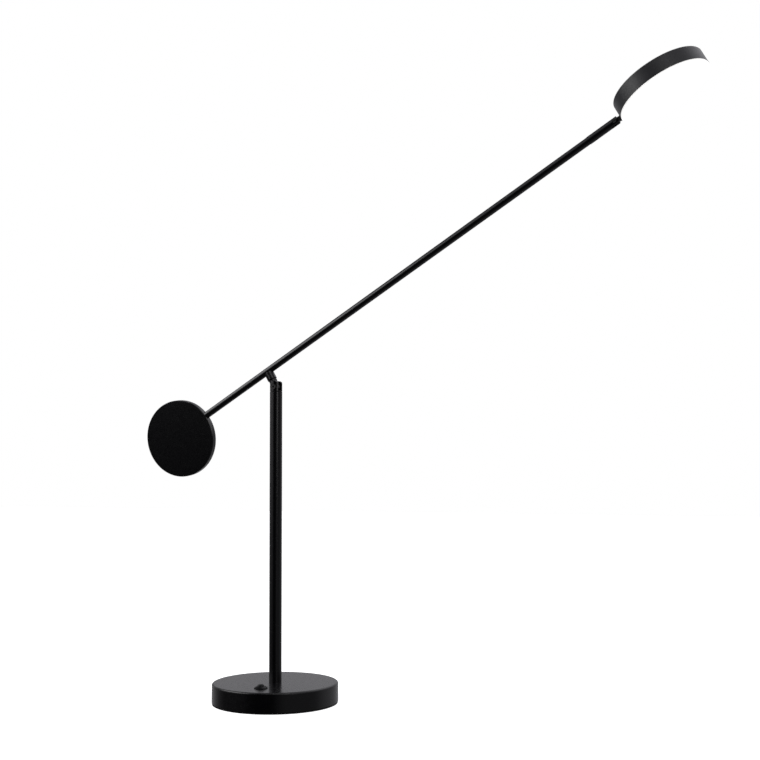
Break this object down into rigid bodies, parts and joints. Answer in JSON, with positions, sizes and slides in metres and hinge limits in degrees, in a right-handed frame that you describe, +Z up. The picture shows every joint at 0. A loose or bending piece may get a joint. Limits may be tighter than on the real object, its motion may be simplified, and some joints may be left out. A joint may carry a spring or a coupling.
{
  "type": "counterweight balance desk lamp",
  "caption": "Desk lamp with a round weighted base, an upright pole and a long tilting balance arm, with a disc counterweight behind and a round flat LED head in front.",
  "frame": {"origin": "on the desk surface, under the middle of the round base", "axes": "+Z up; the arm lies in the XZ plane at rest, with the lamp head towards +X and the counterweight towards -X; the push switch is on the -Y side of the base and the power inlet at +Y"},
  "size_m": [0.7408, 0.156, 0.7401],
  "materials": {
    "black_powder_coat": "matte",
    "black_painted_aluminium": "matte",
    "black_screws": "satin",
    "bare_cast_iron": "matte",
    "zinc_plated_steel": "satin",
    "turned_brass": "satin",
    "black_nylon": "matte",
    "base_pad_rubber": "matte",
    "switch_black": "satin",
    "green_circuit_board": "satin",
    "white_circuit_board": "satin",
    "led_phosphor": "satin",
    "bare_aluminium": "satin",
    "white_reflector": "matte",
    "opal_diffuser": "satin",
    "lead_sheath": "matte"
  },
  "bodies": {
    "base": {"foot_pad": "base_pad_rubber", "bottom_plate": "zinc_plated_steel", "plate_screws": "black_screws", "base_weight": "bare_cast_iron", "base_cover": "black_powder_coat", "driver_board": "green_circuit_board", "board_screws": "zinc_plated_steel", "dc_inlet": "switch_black", "switch_body": "switch_black", "switch_nut": "zinc_plated_steel", "pole_foot": "zinc_plated_steel", "pole_nipple": "zinc_plated_steel", "pole_washer": "zinc_plated_steel", "pole_nut": "zinc_plated_steel", "pole_tube": "black_powder_coat", "pole_lead": "lead_sheath", "pole_bush": "turned_brass", "stop_pin": "zinc_plated_steel", "friction_washer": "black_nylon"},
    "button": {"switch_button": "switch_black"},
    "swivel": {"swivel_washer": "black_nylon", "fork_head": "black_powder_coat", "stop_washer": "zinc_plated_steel", "spring_washer": "zinc_plated_steel", "swivel_nut": "zinc_plated_steel", "pivot_screw": "black_screws", "pivot_washers": "black_nylon"},
    "arm": {"pivot_tongue": "black_powder_coat", "arm_boss": "black_powder_coat", "arm_tube": "black_powder_coat", "arm_end_plug": "zinc_plated_steel", "counterweight_disc": "black_powder_coat", "arm_end_stub": "turned_brass", "arm_lead": "lead_sheath"},
    "head_swivel": {"head_sleeve": "black_powder_coat", "sleeve_grub_screw": "black_screws", "hinge_screw": "black_screws"},
    "head": {"head_lug": "black_powder_coat", "head_housing": "black_painted_aluminium", "led_plate": "bare_aluminium", "led_board": "white_circuit_board", "leds": "led_phosphor", "head_screws": "zinc_plated_steel", "reflector_ring": "white_reflector", "diffuser": "opal_diffuser", "head_lead": "lead_sheath"}
  },
  "joints": [
    {"name": "pole_swivel", "type": "hinge", "parent": "base", "child": "swivel", "pos_m": [0, 0, 0.385], "axis": [0, 0, 1], "range_deg": [-165, 165]},
    {"name": "arm_tilt", "type": "hinge", "parent": "swivel", "child": "arm", "pos_m": [0, 0, 0.391], "axis": [0, -1, 0], "range_deg": [-60, 35]},
    {"name": "head_roll", "type": "hinge", "parent": "arm", "child": "head_swivel", "pos_m": [-0.01185, 0, 0.41152], "axis": [0.866, 0, 0.5], "range_deg": [-150, 150]},
    {"name": "head_tilt", "type": "hinge", "parent": "head_swivel", "child": "head", "pos_m": [0.44091, 0, 0.67292], "axis": [-0.0039, -1, 0.0068], "range_deg": [-90, 90]},
    {"name": "button_press", "type": "slide", "parent": "base", "child": "button", "axis": [0, 0, -1], "range_m": [0, 0.0012], "stiffness_N_per_m": 1200, "springref_m": -0.0006}
  ]
}
